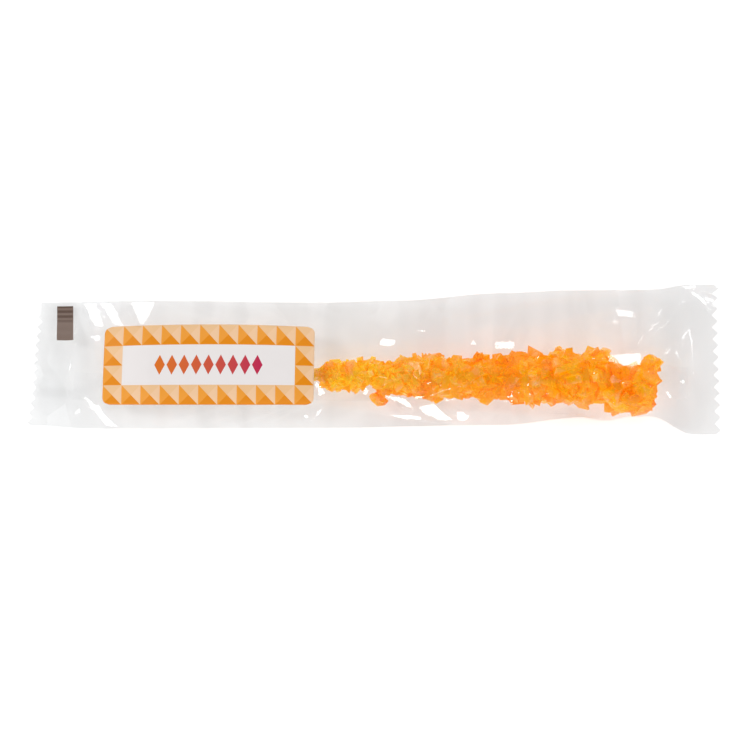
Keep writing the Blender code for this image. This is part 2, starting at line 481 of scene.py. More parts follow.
def section(x, above):
    """Points across the film at x, at even distances along it, from the near fold to the far one."""
    near, far = fold_at(x, -1), fold_at(x, 1)
    ys = [near + (far - near) * step / SAMPLES for step in range(SAMPLES + 1)]
    zs = [height_on(wrapper_solid, x, y, above) for y in ys]
    run = [0.0]
    for (y, z), (next_y, next_z) in zip(zip(ys, zs), zip(ys[1:], zs[1:])):
        run.append(run[-1] + math.hypot(next_y - y, next_z - z))
    wanted = [run[-1] * step / COLUMNS for step in range(COLUMNS + 1)]
    return list(zip(np.interp(wanted, run, ys), np.interp(wanted, run, zs)))


# %% Lay the tube on the solid
# The solid is read between these places, clear of its slanted cuts.
READ_FROM, READ_TO = pack_low.x + 6.5 * MM, pack_high.x - 4.2 * MM


def row_place(share):
    """Where a row of the tube crosses the middle of the packet."""
    return CUT_LEFT + share * (CUT_RIGHT - CUT_LEFT)


def read_sections():
    """The film's points for each row, as an array of (upper y, upper z, lower y, lower z)."""
    rows = []
    for row in range(ROWS + 1):
        x = min(max(row_place(row / ROWS), READ_FROM), READ_TO)
        rows.append([(*up, *down) for up, down in zip(section(x, True), section(x, False))])
    rows = np.array(rows)
    last = max(row for row in range(ROWS + 1) if row_place(row / ROWS) < READ_TO)
    for row in range(last + 1, ROWS + 1):
        rows[row] = 2 * rows[row - 1] - rows[row - 2]
    return rows


sections = read_sections()


def slanted(x, across):
    """Leans the rows at each end, because the cuts aren't quite square."""
    left = across * CUT_SLANT_LEFT * eased((SEAL_LEFT + 20 * MM - x) / (30 * MM))
    right = across * CUT_SLANT_RIGHT * eased((x - SEAL_RIGHT + 10 * MM) / (18 * MM))
    return x + left + right


UNEVEN, UNEVEN_SIZE = 0.3 * MM, 4.5 * MM


def unevenness(x, across, side):
    """Real film is never quite even, and each buckle grows from such a small start."""
    seed = Vector((x / UNEVEN_SIZE, across * FLAT_WIDTH / 2 / UNEVEN_SIZE, 7 * side))
    return noise.noise(seed) * UNEVEN * (1 - abs(across))


def around_candy(share, across, side):
    """Where a point of the flat tube goes on the filled packet."""
    upper_y, upper_z, lower_y, lower_z = sections[round(share * ROWS)][round((across + 1) / 2 * COLUMNS)]
    x = row_place(share)
    ply = side * PLY
    sealed = x < SEAL_LEFT or x > SEAL_RIGHT
    if sealed or side == 0:
        y, z = (upper_y + lower_y) / 2, (upper_z + lower_z) / 2 + ply
    elif side > 0:
        y, z = upper_y, upper_z + ply
    else:
        y, z = lower_y, lower_z + ply
    if not sealed:
        z += unevenness(x, across, side)
    return Vector((slanted(x, across), y, max(z, 0) + LIFT))


print("film around the candy:", len(sections), "sections read")
widths = [sum(math.dist(a[:2], b[:2]) for a, b in zip(row, row[1:])) / MM for row in sections]
print("upper film is", round(min(widths), 1), "to", round(max(widths), 1), "mm across")

# %% [markdown]
# ## The film, let go
#
# Film that is only laid in place looks like glass. The real one buckles wherever it has length to
# spare, so the tube is handed to Blender's Cloth. The flat tube is its rest shape, a little pressure is
# the air in the packet, and the candy, the stick and the table push back. The seals and the film under
# the label are pinned, because pressed film and paper don't bend. Cloth is made for clothes, so the
# whole packet is simulated 20 times as large, where its steps and distances suit.

# %% Set up what the film lies on
BIG = 20
SKIN_VOXEL, SKIN_GROWTH, TOUCH = 1.0 * MM, 0.2 * MM, 0.3 * MM
FILM_FRICTION = 5


def enlarged(mesh, name):
    bmesh.ops.scale(mesh, vec=(BIG, BIG, BIG), verts=mesh.verts[:])
    return make_piece(mesh, name, smooth=False)


def skin_of_candy():
    """A smooth skin over the crystals, which film can slide on."""
    skin = enlarged(copied_mesh(candy), "skin")
    remesh = skin.modifiers.new("Remesh", "REMESH")
    remesh.mode, remesh.voxel_size = "VOXEL", SKIN_VOXEL * BIG
    growth = skin.modifiers.new("Displace", "DISPLACE")
    growth.mid_level, growth.strength = 0, SKIN_GROWTH * BIG
    return applied(skin)


def table_top():
    mesh = bmesh.new()
    bmesh.ops.create_grid(mesh, x_segments=2, y_segments=2, size=0.3)
    return enlarged(mesh, "table_top")


def push_back(piece):
    piece.modifiers.new("Collision", "COLLISION")
    piece.collision.thickness_outer = TOUCH * BIG
    piece.collision.thickness_inner = 0.1
    piece.collision.cloth_friction = FILM_FRICTION


# %% Pin the film and simulate it
SLACK = 1.03
FOLD_HOLD = 0.95
FRAMES = 40
GRAVITY_SHARE = 0.3
LABEL_MARGIN = 1.0 * MM


def under_label(place, side):
    in_length = label_low.x + LABEL_MARGIN < place.x < label_high.x - LABEL_MARGIN
    in_width = label_low.y + LABEL_MARGIN < place.y < label_high.y - LABEL_MARGIN
    return side > 0 and in_length and in_width


def pins(places, layers):
    """How firmly each point is held: the seals and the label fully, and the folds a little."""
    for index, (place, (share, across, side)) in enumerate(zip(places, layers)):
        x = row_place(share)
        if x < SEAL_LEFT or x > SEAL_RIGHT or under_label(place, side):
            yield index, 1.0
        elif abs(across) > 0.999:
            yield index, FOLD_HOLD


CLOTH = {
    "quality": 8, "mass": 0.05, "air_damping": 4, "bending_model": "ANGULAR",
    "tension_stiffness": 80, "compression_stiffness": 80, "shear_stiffness": 60,
    "tension_damping": 10, "compression_damping": 10, "shear_damping": 10,
    "bending_stiffness": 0.6, "bending_damping": 1, "vertex_group_mass": "pin", "pin_stiffness": 1,
    "use_pressure": True, "uniform_pressure_force": 0.35,
}


def make_cloth(film, flat_key):
    cloth = film.modifiers.new("Cloth", "CLOTH")
    for name, value in CLOTH.items():
        setattr(cloth.settings, name, value)
    cloth.settings.rest_shape_key = flat_key
    cloth.settings.effector_weights.gravity = GRAVITY_SHARE
    cloth.collision_settings.collision_quality = 3
    cloth.collision_settings.distance_min = TOUCH * BIG
    cloth.collision_settings.use_self_collision = False
    cloth.point_cache.frame_start, cloth.point_cache.frame_end = 1, FRAMES


def film_settled():
    kept = notes(tube, "share", "across", "side")
    layers = [tuple(vertex[note] for note in kept) for vertex in tube.verts]
    places = [around_candy(*layer) for layer in layers]
    for vertex, place in zip(tube.verts, places):
        vertex.co = place * BIG
    film = make_piece(tube, "film")
    film.shape_key_add(name="filled")
    flat = film.shape_key_add(name="flat")
    for point, (share, across, side) in zip(flat.data, layers):
        point.co = BIG * Vector((row_place(share) * SLACK, across * FLAT_WIDTH / 2, side * PLY))
    flat.value = 0
    pin = film.vertex_groups.new(name="pin")
    for index, weight in pins(places, layers):
        pin.add([index], weight, "REPLACE")
    hard = [skin_of_candy(), enlarged(copied_mesh(stick), "rod"), table_top()]
    for piece in hard:
        push_back(piece)
    make_cloth(film, flat)
    for step in range(1, FRAMES + 1):
        scene.frame_set(step)
    applied(film)
    for piece in hard:
        bpy.data.objects.remove(piece)
    film.vertex_groups.clear()
    film.data.transform(Matrix.Scale(1 / BIG, 4))
    return film


film = film_settled()
highest = max(vertex.co.z for vertex in film.data.vertices)
print("film settled, highest at", round(highest / MM, 1), "mm")

# %% [markdown]
# ## Sharp creases
#
# Cloth gives round buckles, but stiff film also breaks into flat facets with straight edges. The larger
# facets are pressed one by one. Each is a polygon drawn on the table, and the film that the camera sees
# over it goes onto one plane. The plane is tipped the way the film already leans, just enough to throw
# one of the lamps into the camera, so the studio is decided here too.

# %% Place the lamps and the camera, and list the facets
VIEW_MIDDLE = Vector((0.0003, -0.0047, 0))
CAMERA_PLACE = VIEW_MIDDLE + Vector((0, 0, 1.2))
LAMPS = {
    "left": (Vector((-0.75, 0.3, 0.8)), 0.17, 2.3),
    "right": (Vector((0.9, 0.1, 0.6)), 0.12, 1.6),
    "near": (Vector((-0.5, -0.8, 0.55)), 0.16, 2.7),
    "far": (Vector((0.5, 0.95, 0.5)), 0.16, 1.5),
}
# Corners in millimetres on the table, one line for each facet.
FACETS = (
    ((-91.1, 17.8), (-87.0, 17.8), (-84.5, 10.5), (-87.6, 10.5)),
    ((-85.6, 17.8), (-81.7, 17.8), (-78.3, 10.5), (-82.0, 11.2)),
    ((-76.6, 17.9), (-68.2, 18.1), (-70.5, 13.0), (-72.3, 11.3), (-73.7, 11.3)),
    ((-91.2, -11.4), (-89.5, -11.4), (-80.4, -20.7), (-84.5, -20.7)),
    ((-22.5, -17.5), (-21.7, -17.3), (-20.1, -18.4), (-20.5, -19.2)),
    ((-20.1, -19.2), (-19.5, -19.4), (-15.6, -15.0), (-16.2, -14.7)),
    ((-18.2, -6.2), (-16.6, -7.6), (-15.0, -10.1), (-17.8, -11.9)),
    ((-2.5, -7.9), (-1.3, -10.3), (-3.8, -10.6)),
    ((1.3, 4.6), (1.5, 6.2), (3.2, 6.8), (7.4, 6.1), (7.1, 5.1), (4.1, 4.3)),
    ((2.8, -10.9), (8.5, -11.8), (16.6, -16.3), (13.7, -15.8), (3.3, -11.8)),
    ((2.8, -17.2), (14.2, -17.3), (18.6, -19.0), (7.6, -18.2)),
    ((13.5, -14.8), (18.9, -13.8), (25.4, -18.9), (20.3, -19.1), (15.1, -17.0)),
    ((13.0, 9.3), (16.7, 9.3), (16.5, 8.9), (13.4, 8.9)),
    ((25.8, -16.0), (30.5, -17.3), (28.7, -19.3), (25.8, -18.8)),
    ((30.7, 6.4), (32.2, 6.2), (31.9, 4.5), (29.8, 4.7)),
    ((35.6, -19.8), (36.1, -19.9), (38.7, -17.4), (38.2, -17.1)),
    ((37.2, 5.6), (44.3, 6.1), (44.2, 3.6), (37.6, 3.4)),
    ((73.5, 1.6), (84.1, 2.5), (83.8, -0.8), (80.9, -2.7), (73.1, -0.5)),
    ((76.1, 13.1), (78.1, 13.3), (76.8, 11.9), (73.6, 11.3)),
    ((75.2, 16.1), (82.1, 15.4), (81.1, 13.3), (76.1, 13.5), (75.4, 14.9)),
    ((86.0, 11.0), (87.9, 11.4), (87.7, 10.9), (86.1, 10.6)),
    ((88.5, 13.4), (88.9, 13.3), (90.4, 16.2), (90.0, 16.3)),
    ((91.3, 2.2), (92.0, 3.8), (92.9, 3.4), (91.9, 1.3)),
    ((91.0, -9.7), (91.7, -9.6), (93.6, -12.6), (93.0, -12.8)),
    ((94.1, 2.9), (94.6, 3.0), (96.1, -0.4), (95.8, -0.7)),
    ((98.9, 20.8), (99.6, 21.7), (106.3, 16.4), (105.6, 15.4)),
)
EDGE_ROUNDING, EDGE_SPREAD = 0.4 * MM, 0.3 * MM


# %% Press the facets
def on_table(place):
    """The spot on the table that a place hides from the camera."""
    line = place - CAMERA_PLACE
    return CAMERA_PLACE - line * (CAMERA_PLACE.z / line.z)


def depth_inside(corners, place):
    """How far a place lies inside a polygon, or a negative number outside."""
    depths = []
    for (x, y), (next_x, next_y) in zip(corners, corners[1:] + corners[:1]):
        run_x, run_y = next_x - x, next_y - y
        off = run_x * (place.y / MM - y) - run_y * (place.x / MM - x)
        depths.append(off / math.hypot(run_x, run_y))
    turning = 1 if sum(depths) > 0 else -1
    return min(depth * turning for depth in depths) * MM


def mirror_normal(place, lean):
    """The tilt that mirrors a lamp into the camera, for the lamp that needs the least change."""
    to_camera = (CAMERA_PLACE - place).normalized()
    halves = [(to_camera + (lamp[0] - place).normalized()).normalized() for lamp in LAMPS.values()]
    return max(halves, key=lean.dot)


def press_facet(mesh, corners):
    side, pressed = notes(mesh, "side", "pressed")
    inside = []
    for vertex in mesh.verts:
        if vertex[side] > 0.5:
            depth = depth_inside(corners, on_table(vertex.co)) + EDGE_ROUNDING + EDGE_SPREAD
            if depth > 0:
                inside.append((vertex, depth))
    middle = sum((vertex.co for vertex, _ in inside), Vector()) / len(inside)
    lean = sum((vertex.normal for vertex, _ in inside), Vector()).normalized()
    normal = mirror_normal(middle, lean)
    for vertex, depth in inside:
        offset = vertex.co - middle
        height = middle.z - (offset.x * normal.x + offset.y * normal.y) / normal.z
        vertex[pressed] = eased(depth / EDGE_ROUNDING)
        vertex.co.z += (height - vertex.co.z) * vertex[pressed]
    return math.degrees(lean.angle(normal))


def press_facets(piece):
    with edited(piece) as mesh:
        mesh.verts.layers.float.new("pressed")
        turns = [press_facet(mesh, corners) for corners in FACETS]
    print(len(turns), "facets pressed, turned by", [round(turn) for turn in turns], "degrees")


# %% [markdown]
# ## Fine film, teeth and crimps
#
# One level of subdivision rounds the buckles. It halves the columns too, so every tooth of the cut has
# eight of them. Cloth and subdivision both draw a fold in a little, so the folds are moved back out to
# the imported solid's. The jaws leave fine ridges along the packet in both seals and a zigzag cut at each
# end, but the far corner on the left was cut square. All these are small moves of points that are
# already there, so the film stays one closed mesh.

# %% Subdivide, and hold the folds
FOLD_HOLD_FROM = 0.55
FOLD_BULGE = ((64, 0), (72, 1.1), (79, 0))


def crease_cuts(mesh):
    """Keeps the subdivision from drawing the cut ends in."""
    crease = mesh.edges.layers.float.new("crease_edge")
    [share] = notes(mesh, "share")
    for edge in mesh.edges:
        shares = {round(vertex[share], 3) for vertex in edge.verts}
        if shares in ({0}, {1}):
            edge[crease] = 1


def spread_to_folds(mesh):
    """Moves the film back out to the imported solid's folds."""
    share, across = notes(mesh, "share", "across")
    folds = {}
    for vertex in mesh.verts:
        row, side = round(vertex[share] * ROWS * 2), 1 if vertex[across] > 0 else -1
        if abs(vertex[across]) > 0.999:
            packed = (sections[row // 2] + sections[(row + 1) // 2])[-1 if side > 0 else 0][0] / 2
            if side < 0:
                packed -= along(vertex.co.x, FOLD_BULGE)
            folds[row, side] = packed - vertex.co.y
    for vertex in mesh.verts:
        row, side = round(vertex[share] * ROWS * 2), 1 if vertex[across] > 0 else -1
        held = eased((abs(vertex[across]) - FOLD_HOLD_FROM) / (1 - FOLD_HOLD_FROM))
        vertex.co.y += folds[row, side] * held


with edited(film) as mesh:
    crease_cuts(mesh)
smoothing = film.modifiers.new("Subdivision", "SUBSURF")
smoothing.levels = smoothing.render_levels = 1
applied(film)
with edited(film) as mesh:
    spread_to_folds(mesh)
press_facets(film)
print("film has", len(film.data.polygons), "faces")

# %% Cut the teeth and press the ridges
TEETH, TOOTH_REACH = 13, 3.5 * MM
TOOTH_DEPTH_LEFT, TOOTH_DEPTH_RIGHT = 1.3 * MM, 1.9 * MM
SQUARE_FROM, SQUARE_DEPTH = 0.8, 0.3 * MM
RIDGE, FILM_LOWEST = 0.1 * MM, 0.3 * MM


def cut_depth(across, inwards, depth):
    """How far the cut is from a tooth's tip: a zigzag across the packet."""
    if inwards > 0 and across > SQUARE_FROM:
        return SQUARE_DEPTH
    swing = (across + 1) / 2 * TEETH % 1
    return abs(2 * swing - 1) * depth


def cut_and_crimp(mesh):
    share, across, pressed = notes(mesh, "share", "across", "pressed")
    ends = (CUT_LEFT, SEAL_LEFT, 1, TOOTH_DEPTH_LEFT), (CUT_RIGHT, SEAL_RIGHT, -1, TOOTH_DEPTH_RIGHT)
    for vertex in mesh.verts:
        x = row_place(vertex[share])
        for cut, seal, inwards, depth in ends:
            from_cut, into_seal = (x - cut) * inwards, (seal - x) * inwards
            if from_cut < TOOTH_REACH:
                drawn = cut_depth(vertex[across], inwards, depth)
                vertex.co.x += inwards * drawn * (1 - from_cut / TOOTH_REACH)
            if into_seal > 0:
                column = round((vertex[across] + 1) * COLUMNS)
                height = RIDGE * eased(into_seal / MM) * eased(from_cut / MM - 1.5) * (1 - vertex[pressed])
                vertex.co.z += height * (1 if column % 2 else -1)
        vertex.co.z = max(vertex.co.z, FILM_LOWEST)


with edited(film) as mesh:
    cut_and_crimp(mesh)
film.data.shade_smooth()
print("teeth are", TOOTH_DEPTH_LEFT / MM, "and", TOOTH_DEPTH_RIGHT / MM, "mm deep")

# %% [markdown]
# The film was simulated on a smoothed skin and then pressed, so a sharp crystal may stand through it by
# a hair. A tip beside the film is drawn towards the stick until there is film above it, and then each
# point is kept between the lower and the upper film, which two rays find.

# %% Tuck in the crystals' tips
HAIR, TUCK = 0.08 * MM, 0.04


def tuck_in(mesh):
    """Draws in the few tips that stand through the film."""
    film_tree = tree_of(film)
    moved = 0
    for vertex in mesh.verts:
        start, middle = vertex.co.copy(), axis_at(vertex.co.x)
        while height_on(film_tree, *vertex.co.xy, True) is None:
            vertex.co = vertex.co.lerp(middle, TUCK)
        above = height_on(film_tree, *vertex.co.xy, True) - HAIR
        below = height_on(film_tree, *vertex.co.xy, False) + HAIR
        vertex.co.z = min(max(vertex.co.z, below), above)
        moved += vertex.co != start
    return moved


with edited(candy) as mesh:
    print(tuck_in(mesh), "crystal corners moved in")

# %% [markdown]
# ## The fin seal
#
# The film goes round the candy as a flat sheet, and its two edges are pressed together on the back. The
# doubled strip stands up like a fin and is then folded flat. It follows every buckle of the back, so it
# is a copy of that part of the film, moved off it by a hair.

# %% Copy the fin from the back
FIN_WIDTH = 10.5 * MM
FIN_BASE, FIN_ROUNDING = -0.56, 0.08  # across the film, where a side is 1
FIN_GAP, FIN_STEP, FIN_LOWEST = 0.02 * MM, 0.14 * MM, 0.04 * MM


def make_fin():
    mesh = copied_mesh(film)
    share, across, side = notes(mesh, "share", "across", "side")
    free_edge = FIN_BASE + FIN_WIDTH / (FLAT_WIDTH / 2)

    def in_strip(vertex):
        between_seals = SEAL_LEFT < row_place(vertex[share]) < SEAL_RIGHT
        return between_seals and FIN_BASE <= vertex[across] <= free_edge and vertex[side] < -0.4

    outside = [vertex for vertex in mesh.verts if not in_strip(vertex)]
    bmesh.ops.delete(mesh, geom=outside, context="VERTS")
    mesh.normal_update()
    for vertex in mesh.verts:
        away = eased((vertex[across] - FIN_BASE) / FIN_ROUNDING) * FIN_STEP + FIN_GAP
        vertex.co += vertex.normal * away
        vertex.co.z = max(vertex.co.z, FIN_LOWEST)
    return make_piece(mesh, "fin_seal")


fin = make_fin()
print("fin seal has", len(fin.data.polygons), "faces")

# %% [markdown]
# ## The label
#
# A paper sticker, a tenth of a millimetre thick, stuck flat on the film. It starts as a grid. The grid
# is laid on the film by rays, cut to round corners, and given its thickness by Solidify. Its printed
# pattern needs a place across and along the paper, so each point keeps where it is in a UV map.

# %% Cut and lay the label
PAPER, GLUE = 0.12 * MM, 0.03 * MM
CORNER = 2.2 * MM
LABEL_LEAN, LABEL_BOW = 0.02, 0.9 * MM
LEAN_LEFT, LEAN_RIGHT = 0.038, 0.016
LABEL_MIDDLE = (label_low + label_high) / 2
LABEL_SIZE = label_high - label_low - Vector((LABEL_LEAN * (label_high - label_low).y, 0, 0))


def rounded(offset, half, other_offset, other_half):
    """Pulls a grid line's place in where it meets a round corner."""
    into = CORNER - (other_half - abs(other_offset))
    if into <= 0:
        return offset
    reach = half - CORNER + math.sqrt(max(CORNER**2 - into**2, 0))
    return offset * reach / half


def make_label():
    mesh = bmesh.new()
    unwrapped = mesh.loops.layers.uv.new("print")
    bmesh.ops.create_grid(mesh, x_segments=110, y_segments=48, size=0.5)
    film_tree = tree_of(film)
    half_x, half_y = LABEL_SIZE.x / 2, LABEL_SIZE.y / 2
    for vertex in mesh.verts:
        offset_x, offset_y = vertex.co.x * LABEL_SIZE.x, vertex.co.y * LABEL_SIZE.y
        offset_x = rounded(offset_x, half_x, offset_y, half_y)
        vertex.co = (offset_x, offset_y, 0)
        for corner in vertex.link_loops:
            corner[unwrapped].uv = (0.5 + offset_x / LABEL_SIZE.x, 0.5 + offset_y / LABEL_SIZE.y)
    for vertex in mesh.verts:
        to_end, to_far_edge = vertex.co.x / half_x, vertex.co.y / LABEL_SIZE.y + 0.5
        lean = LEAN_LEFT + (LEAN_RIGHT - LEAN_LEFT) * (to_end + 1) / 2
        x = vertex.co.x + LABEL_MIDDLE.x + lean * vertex.co.y
        y = vertex.co.y + LABEL_MIDDLE.y - LABEL_BOW * to_end**2 * to_far_edge
        vertex.co = (x, y, height_on(film_tree, x, y, True))
    for _ in range(6):
        bmesh.ops.smooth_vert(mesh, verts=mesh.verts[:], factor=0.5, use_axis_z=True)
    for vertex in mesh.verts:
        vertex.co.z = max(vertex.co.z, height_on(film_tree, *vertex.co.xy, True)) + GLUE
    piece = make_piece(mesh, "paper_label")
    paper = piece.modifiers.new("Solidify", "SOLIDIFY")
    paper.thickness, paper.offset = PAPER, 1
    return applied(piece)


label = make_label()
print("label has", len(label.data.polygons), "faces")

# %% [markdown]
# ## Shader maths in words
#
# Patterns are sums on coordinates. A small class wraps a socket, so that a sum can be written as one
# would on paper, and each operator adds a Math node. Every other node comes from one method that takes
# its type, then its settings, then what goes into its sockets.

# %% Sockets that can be added and multiplied
class Value:
    """A number that changes over a surface: the output of a node."""

    def __init__(self, finish, socket):
        self.finish, self.socket = finish, socket

    def math(self, operation, *others, flipped=False):
        inputs = [*others, self] if flipped else [self, *others]
        return self.finish.node("Math", {"operation": operation}, dict(enumerate(inputs)))

    __add__ = __radd__ = partialmethod(math, "ADD")
    __sub__ = partialmethod(math, "SUBTRACT")
    __rsub__ = partialmethod(math, "SUBTRACT", flipped=True)
    __mul__ = __rmul__ = partialmethod(math, "MULTIPLY")
    __truediv__ = partialmethod(math, "DIVIDE")
    __mod__ = partialmethod(math, "FLOORED_MODULO")
    __gt__ = partialmethod(math, "GREATER_THAN")
    __lt__ = partialmethod(math, "LESS_THAN")
    __abs__ = partialmethod(math, "ABSOLUTE")
    sine = partialmethod(math, "SINE")

    def step(self, start, end):
        """0 below start and 1 above end, with a smooth way between."""
        settings = {"interpolation_type": "SMOOTHSTEP"}
        values = {"Value": self, "From Min": start, "From Max": end}
        return self.finish.node("MapRange", settings, values)


# %% Finishes that are made of nodes
class Finish:
    """One material, or the sky of the studio, and the nodes that make it."""

    def __init__(self, name, kind="materials"):
        self.material = getattr(bpy.data, kind).new(name)
        self.material.use_nodes = True
        self.tree = self.material.node_tree
        self.tree.nodes.clear()

    def node(self, kind, settings=None, values=None, output=0):
        node = self.tree.nodes.new("ShaderNode" + kind)
        for name, setting in (settings or {}).items():
            setattr(node, name, setting)
        for name, value in (values or {}).items():
            if isinstance(value, Value):
                self.tree.links.new(value.socket, node.inputs[name])
            else:
                node.inputs[name].default_value = value
        return Value(self, node.outputs[output])

    def ramp(self, value, stops):
        """Turns a number into a colour, from stops of a place and a colour."""
        made = self.node("ValToRGB", None, {0: value})
        elements = made.socket.node.color_ramp.elements
        for element, (place, colour) in zip(elements, (stops[0], stops[-1])):
            element.position, element.color = place, colour
        for place, colour in stops[1:-1]:
            elements.new(place).color = colour
        return made

    def mix(self, share, first, second):
        """A colour between two colours."""
        values = {0: share, 6: first, 7: second}
        return self.node("Mix", {"data_type": "RGBA"}, values, output=2)

    def vector_math(self, operation, first, second, output=0):
        return self.node("VectorMath", {"operation": operation}, {0: first, 1: second}, output)

    def split(self, point):
        """The three numbers of a place or colour."""
        node = self.node("SeparateXYZ", None, {0: point}).socket.node
        return [Value(self, out) for out in node.outputs]

    def place(self, source="Object"):
        """The object's own coordinates as three values."""
        return self.split(self.node("TexCoord", output=source))

    def flat_place(self, uv_map):
        """Where a point is on the flat piece, as two values."""
        return self.split(self.node("UVMap", {"uv_map": uv_map}))[:2]

    def stretched(self, stretch):
        point = self.node("TexCoord", output="Object")
        return self.node("Mapping", None, {"Vector": point, "Scale": stretch})

    def noise(self, scale, stretch=(1, 1, 1), detail=3):
        values = {"Vector": self.stretched(stretch), "Scale": scale, "Detail": detail}
        return self.node("TexNoise", None, values)

    def bump(self, height, distance, strength=1.0):
        values = {"Height": height, "Distance": distance, "Strength": strength}
        return self.node("Bump", None, values)

    def surface(self, shader, output="OutputMaterial"):
        end = self.tree.nodes.new("ShaderNode" + output)
        self.tree.links.new(shader.socket, end.inputs["Surface"])

    def principled(self, **values):
        named = {name.replace("_", " ").title(): value for name, value in values.items()}
        named = {name.replace("Ior", "IOR"): value for name, value in named.items()}
        return self.node("BsdfPrincipled", None, named)


PRINT_LEVEL = 1.04


def from_screen(red, green, blue):
    """A colour as 0 to 255 on a screen, turned to the linear values that light adds up in."""
    levels = [level / 255 for level in (red, green, blue)]
    linear = [v / 12.92 if v <= 0.04045 else ((v + 0.055) / 1.055) ** 2.4 for v in levels]
    return (*linear, 1.0)


def printed(red, green, blue):
    """An ink or paper as it looks on a screen, under light that turns a white table full white."""
    return tuple(level * PRINT_LEVEL for level in from_screen(red, green, blue)[:3]) + (1.0,)


def dress(piece, finish, slot, *nodes):
    """Gives a piece its material and its body, and hides the solids that it stands for. The slot is not
    used.
    """
    piece.data.materials.clear()
    piece.data.materials.append(finish.material)
    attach(piece, "root")
    if nodes:
        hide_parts(*nodes)


print("shader helpers ready")

# %% [markdown]
# ## Clear film
#
# Film lets nearly all light straight through and mirrors a little at its two faces, more where it is
# seen along its surface. That is a Transparent and a Glossy shader with a share between them. The
# Fresnel node would take the inside of the film for the inside of a solid block, so the share is made
# from Layer Weight, which is the same from both sides. A darker Transparent shader is mixed in as
# painted shade: more around the candy, in soft bands across the packet, and a little on each small
# facet. The machine finds its place by a dark mark that is printed near the end, and an opaque ink
# covers it all, with darker stripes across part of it as painted shade of folds in the film.

# %% Crumpled film
FACE_ON_MIRROR = 0.022
# The darker tint and the three shares after it make painted shade on the film.
FILM_TINT, PAINTED_SHADE_TINT = (0.908, 0.911, 0.912, 1), (0.80, 0.80, 0.80, 1)
SHADE_AT_CANDY, SHADE_IN_BANDS, SHADE_ON_FACETS = 0.28, 0.2, 0.3
CRUMPLE, CELLS = 0.35, 130
AT_LABEL, PAST_CANDY = 0.3, 0.8  # how crumpled the film is there, next to 1 over the candy
MARK_U, MARK_V, MARK_LEAN = (0.0318, 0.0566), (0.846, 0.982), 0.0420
MARK_FOLD_SHADES = 46


def crumpled(finish):
    """A bump of small flat facets, as on film that has been crumpled, and a painted shade for each one."""
    stretched = finish.stretched((1, 0.6, 1))
    cell = {"Vector": stretched, "Scale": CELLS}
    tilt = finish.node("TexVoronoi", None, cell, output="Color")
    middle = finish.node("TexVoronoi", None, cell, output="Position")
    away = finish.vector_math("SUBTRACT", stretched, middle)
    lean = finish.vector_math("SUBTRACT", tilt, (0.5, 0.5, 0.5))
    height = finish.vector_math("DOT_PRODUCT", away, lean, output="Value")
    pressed = finish.node("Attribute", {"attribute_name": "pressed"}, output="Fac")
    right_of_label = finish.place()[0].step(CANDY_START - 6 * MM, CANDY_START + 8 * MM)
    past_candy = finish.place()[0].step(CANDY_END - 7 * MM, CANDY_END + 1 * MM)
    some = finish.noise(45, detail=1).step(0.45, 0.6) * (1 - pressed)
    shade = finish.split(tilt)[0]
    deep = some * (right_of_label * (1 - AT_LABEL) + AT_LABEL) + past_candy * (1 - pressed) * PAST_CANDY
    return finish.bump(height * deep, CRUMPLE), (shade - 0.5) * some


# %% The film's finish
def film_finish(name, tint, mirror_share, marked):
    clear = Finish(name)
    bumpy, facet = crumpled(clear)
    through = clear.node("BsdfTransparent", None, {"Color": tint})
    if marked:
        # Painted shade: darker film around the candy, in soft bands and on small facets.
        bands = clear.noise(90, stretch=(1, 0.06, 0.06), detail=1).step(0.4, 0.6) * SHADE_IN_BANDS
        at_candy = clear.place()[0].step(-30 * MM, 5 * MM) * SHADE_AT_CANDY
        painted_shade = at_candy + bands + facet * SHADE_ON_FACETS
        shaded_film = clear.node("BsdfTransparent", None, {"Color": PAINTED_SHADE_TINT})
        through = clear.node("MixShader", None, {0: painted_shade, 1: through, 2: shaded_film})
    values = {"Color": (1, 1, 1, 1), "Roughness": 0.06, "Normal": bumpy}
    mirror = clear.node("BsdfGlossy", None, values)
    facing = clear.node("LayerWeight", None, {"Blend": 0.5}, output="Facing")
    share = facing.math("POWER", 5) * (1 - mirror_share) + mirror_share
    plain = clear.node("MixShader", None, {0: share, 1: through, 2: mirror})
    if not marked:
        clear.surface(plain)
        return clear
    u, v = clear.flat_place("film")
    u = u + (v - MARK_V[0]) * MARK_LEAN
    inside = (u > MARK_U[0]) * (u < MARK_U[1]) * (v > MARK_V[0]) * (v < MARK_V[1])
    height = (v - MARK_V[0]) / (MARK_V[1] - MARK_V[0])
    # The darker stripes are painted shade of folds in the film.
    fold_shade = (height * MARK_FOLD_SHADES).sine().step(-0.9, 0.6) * height.step(0.45, 0.7)
    ink_and_fold_shade = clear.mix(fold_shade, from_screen(134, 115, 105), from_screen(102, 82, 72))
    ink = clear.principled(base_color=ink_and_fold_shade, roughness=0.35)
    clear.surface(clear.node("MixShader", None, {0: inside, 1: plain, 2: ink}))
    return clear


dress(film, film_finish("clear_film", FILM_TINT, FACE_ON_MIRROR, True), "film", "wrapper")
dress(fin, film_finish("fin_film", (0.995, 0.995, 0.995, 1), 0.015, False), "film")
print("film dressed")

# %% [markdown]
# ## Candy
#
# Coloured sugar glows: light goes in, turns orange on its way, and comes out again. Subsurface
# scattering does that, with red going furthest; a weak orange emission on top is a painted glow. The
# colour is fixed on the surface, paler at the thin end and deeper at the thick end, and each crystal has
# its own tone, as thin ones look paler. Outer edges are palest, as painted light through thin sugar;
# crevices are deeper, as painted shade; some clusters are deeper too. Pale flecks are painted glints,
# and dark specks break it all up.

